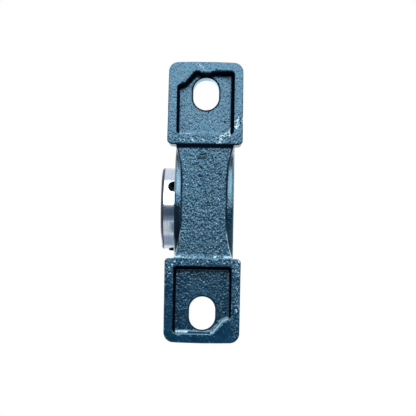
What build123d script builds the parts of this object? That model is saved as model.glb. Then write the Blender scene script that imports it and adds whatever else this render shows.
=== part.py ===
from build123d import *
import os
from math import cos, radians, sin, sqrt

# Pillow block bearing for a 45 mm shaft: a cast iron housing with hollow feet and slotted bolt
# holes, and a self-aligning ball bearing insert that two set screws clamp to the shaft.
# X runs along the base, Y along the shaft and Z up. The origin is on the base plane, under the
# middle of the bore. All sizes are in millimetres.

# ---- Driving dimensions: housing -------------------------------------------------------------
shaft_height = 54.0            # base plane to shaft axis
base_length = 190.0            # over both feet
foot_inner_x = 38.4            # inner end of each foot
foot_height = 20.0             # base plane to the bolt seats
foot_width_inner = 51.2
foot_width_outer = 50.6
foot_end_crown = 0.6           # bulge of each foot's end face
foot_corner_r = 6.6
foot_inner_corner_r = 2.8
foot_draft = 2.0               # degrees
foot_top_r = 3.0
foot_edge_r = 0.7              # round the edges of the rims that carry the block

boss_r = 52.0                  # ring boss, at the parting line
boss_half_width = 20.2
boss_draft = 1.5               # degrees, from the parting line to each face
boss_edge_r = 2.2
mouth_start = 14.0             # the seat is spherical this far from the middle
mouth_face_r = 41.0
mouth_chamfer = 0.8
loading_play = 0.35            # the notches that let the insert in on its side

web_underside = 1.6            # the web is relieved, so that only the feet touch
web_half_width = 15.3
web_straight = 12.0            # half length of the web's straight middle
web_flare_r = 84.0
web_draft = 2.0                # degrees, wider towards the boss
web_edge_r = 0.8
web_ramp = 1.9                 # length of the slope from the web down to each foot
web_ramp_r = 2.5
web_root = 1.0                 # how far the web reaches into the feet
flank_half_width = 17.4        # the shoulders between the boss and the feet
flank_r = 14.0

pocket_inner_x = {1: 45.4, -1: 43.8}    # mouth of the hollow in the +X and the -X foot
pocket_outer_x = 88.6
pocket_half_width = 19.5
pocket_depth = 10.0
pocket_end_inset = 0.8         # how far the drafted walls lean in at the floor
pocket_side_inset = 0.5
pocket_corner_r = 2.3
pocket_floor_r = 2.2
lug_side_x = 78.4              # solid corner left in each pocket for a dowel pin
lug_knee = (80.6, 14.3)        # bend of the lug's S-shaped edge
lug_end_y = 7.6
lug_inset = (0.6, 0.5)         # how far the lug's wall leans in at the floor, along X and Y
bulge_depth = 1.0              # in the +X foot the end wall is thicker behind the bolt slot
bulge_root_y = 5.2
bulge_top_y = 3.0

slot_centre_x = 74.6
slot_length = 22.3
slot_width = 17.6

# ---- Driving dimensions: bearing insert ------------------------------------------------------
shaft_bore_r = 22.5
inner_ring_r = 28.6
inner_ring_front = -30.2       # the long side, with the set screws
inner_ring_back = 19.0
outer_ring_r = 42.5            # spherical seat in the housing
outer_ring_half_width = 11.0
seat_clearance = 0.05          # radial, between the outer ring and the housing
shoulder_r = 36.6              # bore of the outer ring beside the raceway
pitch_r = 32.5
ball_r = 6.35
ball_count = 9
groove_r = 6.6
race_clearance = 0.03
ring_chamfer = 0.8
ring_front_chamfer = 1.1       # on the long side of the inner ring
oil_hole_y = 6.5               # holes and groove that take grease into the bearing
oil_hole_r = 0.9
oil_hole_angles = (150.0, -90.0)
oil_groove_width = 2.4
oil_groove_depth = 0.7

seal_seat_r = 38.4
seal_seat_depth = 3.0
seal_plate = 0.8               # sheet thickness of the seal's steel core
seal_y = 8.6                   # inner face of the seal's plate from the ball plane
shield_recess = 0.3            # the shield's crimped edge ends below the outer ring's face
lip_outer_r = 32.6
lip_clearance = 0.05
lip_edge = 1.0                 # length of the lip's tapered edge
lip_bead = 0.3                 # rubber moulded over each face of the plate

cage_sheet = 0.9
cage_inner_r = 29.7
cage_outer_r = 35.4
pocket_play = 0.1
rivet_r = 0.65
rivet_head_r = 1.4
rivet_head_height = 0.6

slinger_sheet = 0.8
slinger_r = 35.6
slinger_face = 11.0            # distance of the slinger's disc from the ball plane
slinger_hook = 0.8             # how far the slinger's rim reaches in over the seal
slinger_collar = 2.6
slinger_bend_r = 0.7

screw_r = 4.0
screw_length = 7.2
screw_from_face = 8.6
screw_tip_r = 22.7             # the screws are backed off, clear of the bore
screw_socket_flats = 4.0
screw_socket_depth = 3.4
screw_chamfer = 0.6
screw_cup_r = 1.6
screw_cup_taper = 44           # degrees
thread_clearance = 0.05
screw_angles = (26.4, -93.6)   # degrees from straight down, towards +X

# ---- Driving dimensions: grease nipple and passage ----------------------------------------------
nipple_seat_z = 105.2
nipple_seat_r = 5.6
nipple_thread_r = 2.95
nipple_thread_length = 5.4
nipple_hex_flats = 7.0
nipple_hex_height = 4.0
nipple_neck_r = 2.3
nipple_shoulder = 2.0          # length of the cone between hexagon and neck
nipple_head_r = 3.25
nipple_tip_r = 1.55
nipple_head_below = (4.6, 3.4, 2.6)    # neck, and start and end of the head's rim, from the tip
nipple_thread_chamfer = 0.5
nipple_length = 12.0           # above the seat
nipple_inlet_r = 0.85
nipple_chamber_r = 1.45
nipple_ball_r = 1.2
nipple_spring_r = 1.3
nipple_spring_wire = 0.5
nipple_tap_runout = 1.0        # the tapped hole is deeper than the thread
passage_r = 2.0
passage_length = 13.0          # from the nipple's seat into the groove of the ball seat
grease_groove_depth = 0.8
grease_groove_y = 3.5
grease_groove_width = 9.0

cut_past = 1.0                 # cuts run this far past the solid
close_by = 0.01                # edges and corners this near a plane lie in it
upright = 0.9                  # an edge whose direction has this much Z stands up

os.makedirs("parts", exist_ok=True)

bearing_plane = Plane.XY.offset(shaft_height)
shaft_axis = Axis((0, 0, shaft_height), (0, 1, 0))
boss_plane = Plane(origin=(0, 0, shaft_height), x_dir=(1, 0, 0), z_dir=(0, -1, 0))
foot_outer_x = base_length / 2


def foot_plane(side, height=0.0):
    """Level plane whose X points along one foot: side is 1 for +X and -1 for -X."""
    return Plane(origin=(0, 0, height), x_dir=(side, 0, 0), z_dir=(0, 0, 1))


def radial_plane(angle, y):
    """Plane on the shaft axis at y, facing out along a radius: angle is from straight down."""
    out = (sin(radians(angle)), 0, -cos(radians(angle)))
    return Plane(origin=(0, y, shaft_height), x_dir=(0, 1, 0), z_dir=out)


def pocket_outline(side, lean):
    """Outline of a foot's hollow: side is 1 for +X, and lean is 0 at its mouth and 1 at its floor."""
    x0 = pocket_inner_x[side] + lean * pocket_end_inset
    x1 = pocket_outer_x - lean * pocket_end_inset
    y = pocket_half_width - lean * pocket_side_inset
    knee_x, knee_y = lug_knee[0] - lean * lug_inset[0], -lug_knee[1] + lean * lug_inset[1]
    lug_slope = (lug_knee[1] - lug_end_y) / (pocket_outer_x - lug_knee[0])
    bulge = (
        (x1, -bulge_root_y),
        (x1 - bulge_depth, -bulge_top_y),
        (x1 - bulge_depth, bulge_top_y),
        (x1, bulge_root_y),
    )
    return (
        (x0, -y),
        (lug_side_x - lean * lug_inset[0], -y),
        (knee_x, knee_y),
        (x1, knee_y + lug_slope * (x1 - knee_x)),
        *(bulge if side > 0 else ()),
        (x1, y),
        (x0, y),
    )


# ---- Web of the housing ------------------------------------------------------------------------
# It joins the feet under the boss, is waisted in plan and a little wider towards the boss.
flare_run = foot_inner_x + web_root - web_straight
flare_end = web_flare_r - sqrt(web_flare_r**2 - flare_run**2)
flare_mid = web_flare_r - sqrt(web_flare_r**2 - (flare_run / 2) ** 2)
with BuildPart() as web:
    with BuildSketch():
        with BuildLine():
            quarter = [
                Line((0, web_half_width), (web_straight, web_half_width)),
                ThreePointArc(
                    (web_straight, web_half_width),
                    (web_straight + flare_run / 2, web_half_width + flare_mid),
                    (web_straight + flare_run, web_half_width + flare_end),
                ),
                Line(
                    (web_straight + flare_run, web_half_width + flare_end),
                    (web_straight + flare_run, 0),
                ),
            ]
            mirror(quarter, about=Plane.YZ)
            mirror(about=Plane.XZ)
        make_face()
    extrude(amount=foot_height, taper=-web_draft)
    # Its underside is relieved and slopes down to each foot, so that only the feet touch.
    with BuildSketch(Plane.XZ):
        with BuildLine():
            Polyline(
                (-foot_inner_x, 0),
                (web_ramp - foot_inner_x, web_underside),
                (foot_inner_x - web_ramp, web_underside),
                (foot_inner_x, 0),
                close=True,
            )
        make_face()
        fillet(vertices().group_by(Axis.Y)[-1], web_ramp_r)
    extrude(amount=foot_width_inner, both=True, mode=Mode.SUBTRACT)
    fillet(
        edges().filter_by(
            lambda edge: abs(edge.center().X) < foot_inner_x + close_by
            and edge.center().Z < web_underside + close_by
            and abs(edge.center().Y) > web_half_width - close_by
        ),
        web_edge_r,
    )

# ---- Housing ---------------------------------------------------------------------------------
with BuildPart() as housing:
    for side in (1, -1):
        # The foot: a tapered block with rounded outer corners and a rounded upper rim.
        half_in, half_out = foot_width_inner / 2, foot_width_outer / 2
        shoulder_x = foot_outer_x - foot_end_crown
        with BuildSketch(foot_plane(side)):
            with BuildLine():
                Polyline(
                    (shoulder_x, half_out),
                    (foot_inner_x, half_in),
                    (foot_inner_x, -half_in),
                    (shoulder_x, -half_out),
                )
                ThreePointArc((shoulder_x, -half_out), (foot_outer_x, 0), (shoulder_x, half_out))
            make_face()
            fillet(vertices().sort_by(Axis.X)[-2:], foot_corner_r)
        extrude(amount=foot_height, taper=foot_draft)
        # The rim's inner edge lies under the boss and stays square.
        rim = faces(Select.LAST).sort_by(Axis.Z)[-1].edges()
        fillet(rim.sort_by(Axis.X, reverse=side < 0)[1:], foot_top_r)
    fillet(
        edges().filter_by(
            lambda edge: abs(edge.center().X) < foot_inner_x + foot_inner_corner_r
            and abs(edge.tangent_at(0.5).Z) > upright
        ),
        foot_inner_corner_r,
    )
    fillet(edges().filter_by(lambda edge: abs(edge.center().Z) < close_by), foot_edge_r)
    add(web.part)

    # The shoulders that fill the corners between the boss and the tops of the feet.
    flank_x = sqrt((boss_r + flank_r) ** 2 - (foot_height + flank_r - shaft_height) ** 2)
    flank_centre = Vector(flank_x, foot_height + flank_r - shaft_height)
    to_boss = flank_centre.normalized()
    touch = to_boss * boss_r
    middle = flank_centre + (Vector(0, -1) - to_boss).normalized() * flank_r
    with BuildSketch(boss_plane):
        with BuildLine():
            half = [
                Line((0, 0), (touch.X, touch.Y)),
                ThreePointArc(
                    (touch.X, touch.Y),
                    (middle.X, middle.Y),
                    (flank_x, foot_height - shaft_height),
                ),
                Line(
                    (flank_x, foot_height - shaft_height),
                    (flank_x, foot_height - foot_top_r - shaft_height),
                ),
                Line(
                    (flank_x, foot_height - foot_top_r - shaft_height),
                    (0, foot_height - foot_top_r - shaft_height),
                ),
            ]
            mirror(half, about=Plane.YZ)
        make_face()
    extrude(amount=flank_half_width, both=True)

    # The ring boss, drafted from the parting line to its faces.
    boss_face_r = boss_r - boss_half_width * sin(radians(boss_draft))
    with BuildSketch(bearing_plane):
        with BuildLine():
            Polyline(
                (0, -boss_half_width),
                (boss_face_r, -boss_half_width),
                (boss_r, 0),
                (boss_face_r, boss_half_width),
                (0, boss_half_width),
                close=True,
            )
        make_face()
        fillet(vertices().filter_by(lambda corner: corner.X == boss_face_r), boss_edge_r)
    revolve(axis=shaft_axis)

    # Spherical seat with its mouths and grease groove.
    sphere_centre = (0, 0, shaft_height)
    with Locations(sphere_centre):
        Sphere(outer_ring_r, mode=Mode.SUBTRACT)
    mouth_r = sqrt(outer_ring_r**2 - mouth_start**2)
    with BuildSketch(bearing_plane):
        with BuildLine():
            Polyline(
                (0, mouth_start),
                (mouth_r, mouth_start),
                (mouth_face_r, boss_half_width),
                (mouth_face_r + mouth_chamfer, boss_half_width + mouth_chamfer),
                (0, boss_half_width + mouth_chamfer),
                close=True,
            )
        make_face()
        mirror(about=Plane.XZ)
        with Locations((outer_ring_r, grease_groove_y)):
            Rectangle(2 * grease_groove_depth, grease_groove_width)
    revolve(axis=shaft_axis, mode=Mode.SUBTRACT)
    with BuildSketch(boss_plane):
        Circle(outer_ring_r + loading_play)
        Rectangle(
            2 * boss_r,
            2 * (outer_ring_half_width + loading_play),
            mode=Mode.INTERSECT,
        )
    extrude(amount=-boss_half_width - cut_past, mode=Mode.SUBTRACT)

    # Hollow feet with drafted walls, each with a solid corner, and the bolt slots.
    for side in (1, -1):
        for lean in (0, 1):
            with BuildSketch(foot_plane(side, lean * pocket_depth)):
                with BuildLine():
                    FilletPolyline(*pocket_outline(side, lean), radius=pocket_corner_r, close=True)
                make_face()
        loft(ruled=True, mode=Mode.SUBTRACT)
        fillet(faces(Select.LAST).sort_by(Axis.Z)[-1].edges(), pocket_floor_r)
        with BuildSketch(foot_plane(side, foot_height)):
            with Locations((slot_centre_x, 0)):
                SlotOverall(slot_length, slot_width)
        extrude(amount=-foot_height, mode=Mode.SUBTRACT)

    # Tapped hole for the grease nipple on its spot face, and the passage to the seat.
    with BuildSketch(Plane.XY.offset(nipple_seat_z)):
        Circle(nipple_seat_r)
    extrude(amount=boss_r, mode=Mode.SUBTRACT)
    with BuildSketch(Plane.XY.offset(nipple_seat_z)):
        Circle(nipple_thread_r)
    extrude(amount=-nipple_thread_length - nipple_tap_runout, mode=Mode.SUBTRACT)
    with BuildSketch(Plane.XY.offset(nipple_seat_z)):
        Circle(passage_r)
    extrude(amount=-passage_length, mode=Mode.SUBTRACT)
housing.part.label = "housing"
export_step(housing.part, "parts/housing.step")

# ---- Grease nipple: body, check ball and spring ------------------------------------------------
nipple_top = nipple_seat_z + nipple_length
nipple_bottom = nipple_seat_z - nipple_thread_length
chamber_bottom = nipple_bottom + nipple_spring_wire
chamber_top = nipple_top - nipple_spring_wire
check_seat_depth = sqrt(nipple_ball_r**2 - nipple_inlet_r**2)
check_ball_z = chamber_top - check_seat_depth - race_clearance
hex_top = nipple_seat_z + nipple_hex_height

with BuildPart() as grease_nipple_body:
    with BuildSketch(Plane.XZ):
        with BuildLine():
            Polyline(
                (nipple_inlet_r, nipple_bottom),
                (nipple_thread_r - nipple_thread_chamfer, nipple_bottom),
                (nipple_thread_r, nipple_bottom + nipple_thread_chamfer),
                (nipple_thread_r, hex_top),
                (nipple_neck_r, hex_top + nipple_shoulder),
                (nipple_neck_r, nipple_top - nipple_head_below[0]),
                (nipple_head_r, nipple_top - nipple_head_below[1]),
                (nipple_head_r, nipple_top - nipple_head_below[2]),
                (nipple_tip_r, nipple_top),
                (nipple_inlet_r, nipple_top),
                (nipple_inlet_r, chamber_top),
                (nipple_chamber_r, chamber_top),
                (nipple_chamber_r, chamber_bottom),
                (nipple_inlet_r, chamber_bottom),
                close=True,
            )
        make_face()
    revolve(axis=Axis.Z)
    with BuildSketch(Plane.XY.offset(nipple_seat_z)):
        RegularPolygon(nipple_hex_flats / 2, 6, major_radius=False)
        Circle(nipple_thread_r, mode=Mode.SUBTRACT)
    extrude(amount=nipple_hex_height)
grease_nipple_body.part.label = "grease_nipple_body"
export_step(grease_nipple_body.part, "parts/grease_nipple_body.step")

with BuildPart(Location((0, 0, check_ball_z))) as grease_nipple_ball:
    Sphere(nipple_ball_r)
grease_nipple_ball.part.label = "grease_nipple_ball"
export_step(grease_nipple_ball.part, "parts/grease_nipple_ball.step")

spring_bore = nipple_spring_r - nipple_spring_wire
spring_top = check_ball_z - sqrt(nipple_ball_r**2 - spring_bore**2) - race_clearance
with BuildPart() as grease_nipple_spring:
    with BuildSketch(Plane.XY.offset(chamber_bottom)):
        Circle(nipple_spring_r)
        Circle(spring_bore, mode=Mode.SUBTRACT)
    extrude(amount=spring_top - chamber_bottom)
grease_nipple_spring.part.label = "grease_nipple_spring"
export_step(grease_nipple_spring.part, "parts/grease_nipple_spring.step")

# ---- Outer ring ------------------------------------------------------------------------------
ring_seat_r = outer_ring_r - seat_clearance
ring_face_r = sqrt(ring_seat_r**2 - outer_ring_half_width**2)
groove_floor = pitch_r + ball_r + race_clearance
race_edge = sqrt(groove_r**2 - (shoulder_r - groove_floor + groove_r) ** 2)
seat_step = outer_ring_half_width - seal_seat_depth

with BuildPart() as outer_ring:
    with BuildSketch(bearing_plane):
        with BuildLine():
            RadiusArc(
                (ring_face_r, outer_ring_half_width),
                (ring_face_r, -outer_ring_half_width),
                ring_seat_r,
            )
            half = [
                Line((ring_face_r, outer_ring_half_width), (seal_seat_r, outer_ring_half_width)),
                Line((seal_seat_r, outer_ring_half_width), (seal_seat_r, seat_step)),
                Line((seal_seat_r, seat_step), (shoulder_r, seat_step)),
                Line((shoulder_r, seat_step), (shoulder_r, race_edge)),
            ]
            mirror(half, about=Plane.XZ)
            ThreePointArc((shoulder_r, race_edge), (groove_floor, 0), (shoulder_r, -race_edge))
        make_face()
        chamfer(
            vertices().filter_by(lambda corner: abs(corner.X - ring_face_r) < close_by),
            ring_chamfer,
        )
        with Locations((ring_seat_r, oil_hole_y)):
            Rectangle(2 * oil_groove_depth, oil_groove_width, mode=Mode.SUBTRACT)
    revolve(axis=shaft_axis)
    for angle in oil_hole_angles:
        with BuildSketch(radial_plane(angle, oil_hole_y)):
            Circle(oil_hole_r)
        extrude(amount=outer_ring_r, mode=Mode.SUBTRACT)
outer_ring.part.label = "outer_ring"
export_step(outer_ring.part, "parts/outer_ring.step")

# ---- Inner ring ------------------------------------------------------------------------------
inner_floor = pitch_r - ball_r - race_clearance
inner_race_edge = sqrt(groove_r**2 - (inner_floor + groove_r - inner_ring_r) ** 2)
screw_y = inner_ring_front + screw_from_face

with BuildPart() as inner_ring:
    with BuildSketch(bearing_plane):
        with BuildLine():
            ThreePointArc(
                (inner_ring_r, -inner_race_edge),
                (inner_floor, 0),
                (inner_ring_r, inner_race_edge),
            )
            Polyline(
                (inner_ring_r, inner_race_edge),
                (inner_ring_r, inner_ring_back),
                (shaft_bore_r, inner_ring_back),
                (shaft_bore_r, inner_ring_front),
                (inner_ring_r, inner_ring_front),
                (inner_ring_r, -inner_race_edge),
            )
        make_face()
        ends = vertices().group_by(Axis.Y)
        chamfer(ends[-1], ring_chamfer)
        chamfer(ends[0], ring_front_chamfer)
    revolve(axis=shaft_axis)
    for angle in screw_angles:
        with BuildSketch(radial_plane(angle, screw_y)):
            Circle(screw_r + thread_clearance)
        extrude(amount=inner_ring_r + cut_past, mode=Mode.SUBTRACT)
inner_ring.part.label = "inner_ring"
export_step(inner_ring.part, "parts/inner_ring.step")

# ---- Set screws: hexagon socket, cup point -----------------------------------------------------
for number, angle in enumerate(screw_angles, start=1):
    with BuildPart() as set_screw:
        with BuildSketch(radial_plane(angle, screw_y).offset(screw_tip_r)):
            Circle(screw_r)
        extrude(amount=screw_length)
        ends = edges().group_by(Axis(set_screw.part.center(), radial_plane(angle, 0).z_dir))
        chamfer(ends[0] + ends[-1], screw_chamfer)
        with BuildSketch(radial_plane(angle, screw_y).offset(screw_tip_r + screw_length)):
            RegularPolygon(screw_socket_flats / 2, 6, major_radius=False)
        extrude(amount=-screw_socket_depth, mode=Mode.SUBTRACT)
        with BuildSketch(radial_plane(angle, screw_y).offset(screw_tip_r)):
            Circle(screw_cup_r)
        extrude(amount=screw_cup_r, taper=screw_cup_taper, mode=Mode.SUBTRACT)
    set_screw.part.label = f"set_screw_{number}"
    export_step(set_screw.part, f"parts/set_screw_{number}.step")

# ---- Balls -------------------------------------------------------------------------------------
ball_angles = [index * 360 / ball_count for index in range(ball_count)]
ball_places = [
    (pitch_r * sin(radians(angle)), 0, shaft_height - pitch_r * cos(radians(angle)))
    for angle in ball_angles
]
for number, place in enumerate(ball_places, start=1):
    with BuildPart(Location(place)) as ball:
        Sphere(ball_r)
    ball.part.label = f"ball_{number:02d}"
    export_step(ball.part, f"parts/ball_{number:02d}.step")

# ---- Ribbon cage: two pressed halves and the rivets between the balls ----------------------------
rivet_start = 180 / ball_count - 90
for name, facing in (("cage_front", 1), ("cage_back", -1)):
    cage_plane = Plane(origin=(0, 0, shaft_height), x_dir=(1, 0, 0), z_dir=(0, -facing, 0))
    with BuildPart() as cage_half:
        with BuildSketch(cage_plane):
            Circle(cage_outer_r)
            Circle(cage_inner_r, mode=Mode.SUBTRACT)
        extrude(amount=cage_sheet)
        with Locations(*ball_places):
            Sphere(ball_r + pocket_play + cage_sheet)
        with BuildSketch(cage_plane):
            Circle(cage_outer_r)
            Circle(cage_inner_r, mode=Mode.SUBTRACT)
        extrude(amount=2 * ball_r, mode=Mode.INTERSECT)
        with Locations(*ball_places):
            Sphere(ball_r + pocket_play, mode=Mode.SUBTRACT)
        with BuildSketch(boss_plane):
            with PolarLocations(pitch_r, ball_count, start_angle=rivet_start):
                Circle(rivet_r)
        extrude(amount=cage_sheet, both=True, mode=Mode.SUBTRACT)
    cage_half.part.label = name
    export_step(cage_half.part, f"parts/{name}.step")

with BuildPart() as cage_rivets:
    with BuildSketch(boss_plane):
        with PolarLocations(pitch_r, ball_count, start_angle=rivet_start):
            Circle(rivet_r)
    extrude(amount=cage_sheet + rivet_head_height, both=True)
    for end in (1, -1):
        head_plane = boss_plane.offset(end * (cage_sheet + rivet_head_height / 2))
        with BuildSketch(head_plane):
            with PolarLocations(pitch_r, ball_count, start_angle=rivet_start):
                Circle(rivet_head_r)
        extrude(amount=rivet_head_height / 2, both=True)
cage_rivets.part.label = "cage_rivets"
export_step(cage_rivets.part, "parts/cage_rivets.step")

# ---- Seals and slingers, the same on both sides --------------------------------------------------
lip_r = inner_ring_r + lip_clearance
shield_edge = outer_ring_half_width - shield_recess
for end, facing in (("front", -1), ("back", 1)):
    with BuildPart() as seal_shield:
        with BuildSketch(bearing_plane):
            with BuildLine():
                Polyline(
                    (lip_outer_r - seal_plate, facing * seal_y),
                    (seal_seat_r, facing * seal_y),
                    (seal_seat_r, facing * shield_edge),
                    (seal_seat_r - seal_plate, facing * shield_edge),
                    (seal_seat_r - seal_plate, facing * (seal_y + seal_plate)),
                    (lip_outer_r - seal_plate, facing * (seal_y + seal_plate)),
                    close=True,
                )
            make_face()
        revolve(axis=shaft_axis)
    seal_shield.part.label = f"seal_{end}_shield"
    export_step(seal_shield.part, f"parts/seal_{end}_shield.step")

    with BuildPart() as seal_lip:
        with BuildSketch(bearing_plane):
            with BuildLine():
                Polyline(
                    (lip_r, facing * (seal_y + seal_plate / 2)),
                    (lip_r + lip_edge, facing * (seal_y + seal_plate + lip_bead)),
                    (lip_outer_r, facing * (seal_y + seal_plate + lip_bead)),
                    (lip_outer_r, facing * (seal_y + seal_plate)),
                    (lip_outer_r - seal_plate, facing * (seal_y + seal_plate)),
                    (lip_outer_r - seal_plate, facing * seal_y),
                    (lip_outer_r, facing * seal_y),
                    (lip_outer_r, facing * (seal_y - lip_bead)),
                    (lip_r + lip_edge, facing * (seal_y - lip_bead)),
                    close=True,
                )
            make_face()
        revolve(axis=shaft_axis)
    seal_lip.part.label = f"seal_{end}_lip"
    export_step(seal_lip.part, f"parts/seal_{end}_lip.step")

    with BuildPart() as slinger:
        with BuildSketch(bearing_plane):
            with BuildLine():
                Polyline(
                    (inner_ring_r, facing * slinger_face),
                    (slinger_r - slinger_sheet, facing * slinger_face),
                    (slinger_r - slinger_sheet, facing * (slinger_face - slinger_hook)),
                    (slinger_r, facing * (slinger_face - slinger_hook)),
                    (slinger_r, facing * (slinger_face + slinger_sheet)),
                    (inner_ring_r + slinger_sheet, facing * (slinger_face + slinger_sheet)),
                    (inner_ring_r + slinger_sheet, facing * (slinger_face + slinger_collar)),
                    (inner_ring_r, facing * (slinger_face + slinger_collar)),
                    close=True,
                )
            make_face()
            outer_bend = vertices().filter_by(
                lambda corner: corner.X > slinger_r - close_by
                and abs(corner.Y) > slinger_face
            )
            fillet(outer_bend, slinger_bend_r)
        revolve(axis=shaft_axis)
    slinger.part.label = f"slinger_{end}"
    export_step(slinger.part, f"parts/slinger_{end}.step")
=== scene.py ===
from functools import reduce
from math import pi, radians, sin, tau

import bmesh
import bpy
import numpy as np
from bpy.props import FloatProperty, FloatVectorProperty, IntProperty, PointerProperty
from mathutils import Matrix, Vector


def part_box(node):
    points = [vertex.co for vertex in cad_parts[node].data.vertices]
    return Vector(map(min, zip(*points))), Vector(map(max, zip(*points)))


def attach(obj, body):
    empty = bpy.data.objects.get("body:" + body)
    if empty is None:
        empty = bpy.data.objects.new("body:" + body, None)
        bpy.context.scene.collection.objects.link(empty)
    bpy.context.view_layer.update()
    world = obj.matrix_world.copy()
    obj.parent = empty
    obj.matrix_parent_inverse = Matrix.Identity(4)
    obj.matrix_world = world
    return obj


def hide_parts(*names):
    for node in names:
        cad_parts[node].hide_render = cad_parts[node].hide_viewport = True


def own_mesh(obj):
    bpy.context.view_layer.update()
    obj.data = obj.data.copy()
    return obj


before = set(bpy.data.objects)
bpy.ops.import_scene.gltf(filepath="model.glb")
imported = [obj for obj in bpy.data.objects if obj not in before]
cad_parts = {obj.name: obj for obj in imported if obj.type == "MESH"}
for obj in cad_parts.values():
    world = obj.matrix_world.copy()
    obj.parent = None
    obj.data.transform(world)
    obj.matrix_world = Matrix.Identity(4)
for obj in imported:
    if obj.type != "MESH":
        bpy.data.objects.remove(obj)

bl_info = {
    "name": "Pillow block bearing",
    "version": (1, 0, 0),
    "blender": (4, 5, 0),
    "location": "3D View > Sidebar > Bearing",
    "description": "Casting, bearing insert, set screws and grease nipple of a pillow block",
    "category": "Object",
}

# ---- Places read from the frame, in metres ----
RING_LOW, RING_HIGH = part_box("inner_ring")
CASTING_LOW, CASTING_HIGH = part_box("housing")
NIPPLE_LOW, NIPPLE_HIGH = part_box("grease_nipple_body")
SPRING_LOW, SPRING_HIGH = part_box("grease_nipple_spring")
AXIS_HEIGHT = (RING_LOW.z + RING_HIGH.z) / 2
RING_RADIUS = (RING_HIGH.x - RING_LOW.x) / 2
SOLID_WELD, PIECE_WELD = 1e-6, 1e-7    # corners nearer than this are one
COLUMNS = 72                           # points round each turned piece
SHARP_ANGLE = radians(38)              # edges that turn further than this are drawn sharp

# ---- Shape of the casting, in metres, as the solid has it ----
FOOT_INNER = 0.0384            # inner end of each foot
WEB_HALF_WIDTH = 0.0153
HOLLOW_FLOOR = 0.0100
SLOT_MIDDLE, SLOT_REACH, SLOT_RADIUS = 0.0746, 0.00235, 0.0088
SEAT_RADIUS = 0.0421           # the turned seat for the insert lies inside this
SEAT_HALF_WIDTH = 0.0140
SEAT_BALL = (0.0426, 0.0428)   # the seat's own sphere, and where the iron behind it starts
SEAT_RELIEF = 0.00005          # keeps the seat's facets clear of the outer ring
NIPPLE_SEAT_RADIUS = 0.0055
NIPPLE_SEAT_HEIGHT = 0.1048
LUG_CORNER = (-0.0750, 0.0060) # the solid corner of the -X foot lies past this


# ---- Sizes and colours that a user may change ----
def length_setting(name, description, default):
    """A length that a user may change."""
    return FloatProperty(name=name, description=description, default=default, unit="LENGTH", precision=5)


def colour_setting(name, description, default):
    """A colour that a user may change."""
    return FloatVectorProperty(
        name=name, description=description, default=default, subtype="COLOR", size=3, min=0, max=1)


class CastingSettings(bpy.types.PropertyGroup):
    """Surface of the sand casting."""

    mesh_step: length_setting(
        "Mesh step", "Edge length of the casting's mesh before it is thinned", 0.0005)
    triangle_limit: IntProperty(
        name="Triangle limit", description="Most triangles that the casting may have", default=190000)
    lump_height: length_setting(
        "Lump height", "Height of the wide swells that the sand mould leaves", 0.00010)
    lump_width: length_setting("Lump width", "Spacing of the wide swells", 0.007)
    pebble_height: length_setting("Pebble height", "Height of the grain that stands in the mesh", 0.00010)
    pebble_width: length_setting("Pebble width", "Spacing of the grain that stands in the mesh", 0.0019)


class ScrewSettings(bpy.types.PropertyGroup):
    """Shape of the set screws."""

    length: length_setting("Length", "Length of each set screw", 0.0072)
    radius: length_setting("Radius", "Outer radius of the thread", 0.0040)
    pitch: length_setting("Pitch", "Pitch of the thread", 0.0010)
    thread_depth: length_setting("Thread depth", "Depth of the thread", 0.00058)
    chamfer: length_setting("Chamfer", "Chamfer at both ends", 0.0008)
    socket_flats: length_setting("Socket", "Width across the socket's flats", 0.0040)
    socket_depth: length_setting("Socket depth", "Depth of the socket", 0.0034)
    cup_radius: length_setting("Cup radius", "Radius of the cup point", 0.0017)


class NippleSettings(bpy.types.PropertyGroup):
    """Shape of the grease nipple and of its spring."""

    hex_flats: length_setting("Hexagon", "Width across the hexagon's flats", 0.0070)
    hex_height: length_setting("Hexagon height", "Height of the hexagon", 0.0040)
    spring_wire: length_setting("Spring wire", "Thickness of the spring's wire", 0.00045)
    spring_turns: FloatProperty(
        name="Spring turns", description="Number of turns of the spring", default=9.0)


class FinishSettings(bpy.types.PropertyGroup):
    """Colours and gloss of the finishes."""

    enamel: colour_setting("Enamel", "Colour of the enamel on the casting", (0.0012, 0.0202, 0.047))
    enamel_glint: colour_setting(
        "Enamel glint", "Colour of the light that the enamel throws back", (0.42, 0.76, 1.0))
    enamel_roughness: FloatProperty(
        name="Enamel roughness", description="Roughness of the enamel", default=0.12, min=0, max=1,
        subtype="FACTOR")
    steel: colour_setting("Ring steel", "Colour of the ground bearing steel", (0.62, 0.71, 0.83))
    oxide: colour_setting("Black oxide", "Colour of the set screws", (0.004, 0.004, 0.006))
    zinc: colour_setting("Zinc plate", "Colour of the grease nipple", (0.66, 0.63, 0.52))


class StageSettings(bpy.types.PropertyGroup):
    """Camera, lamps and floor."""

    camera_place: FloatVectorProperty(
        name="Camera place", description="Where the camera stands", subtype="TRANSLATION", size=3,
        unit="LENGTH", default=(-0.09165, 0.01716, -0.85974), precision=5)
    camera_turn: FloatVectorProperty(
        name="Camera turn", description="How the camera is turned", subtype="EULER", size=3,
        unit="ROTATION", default=(radians(-174.2087), radians(-0.8426), radians(88.9383)))
    focal_length: FloatProperty(
        name="Focal length", description="Focal length of the camera's lens in millimetres",
        default=111.72, unit="CAMERA")
    under_lamp: FloatProperty(
        name="Lamps below", description="Radiance of the soft lamps that light the base", default=4.2)
    key_lamp: FloatProperty(
        name="Key lamp", description="Radiance of the main lamp above", default=4.8)
    fill_lamp: FloatProperty(
        name="Fill lamp", description="Radiance of the second lamp above", default=3.0)
    ambient: FloatProperty(
        name="Ambient", description="Strength of the even light from all round", default=0.55)
    floor_colour: colour_setting("Floor colour", "Colour of the floor", (0.85, 0.85, 0.85))


def add_object(name, data):
    """A new object in the scene, at the origin."""
    made = bpy.data.objects.new(name, data)
    bpy.context.scene.collection.objects.link(made)
    return made


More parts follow.
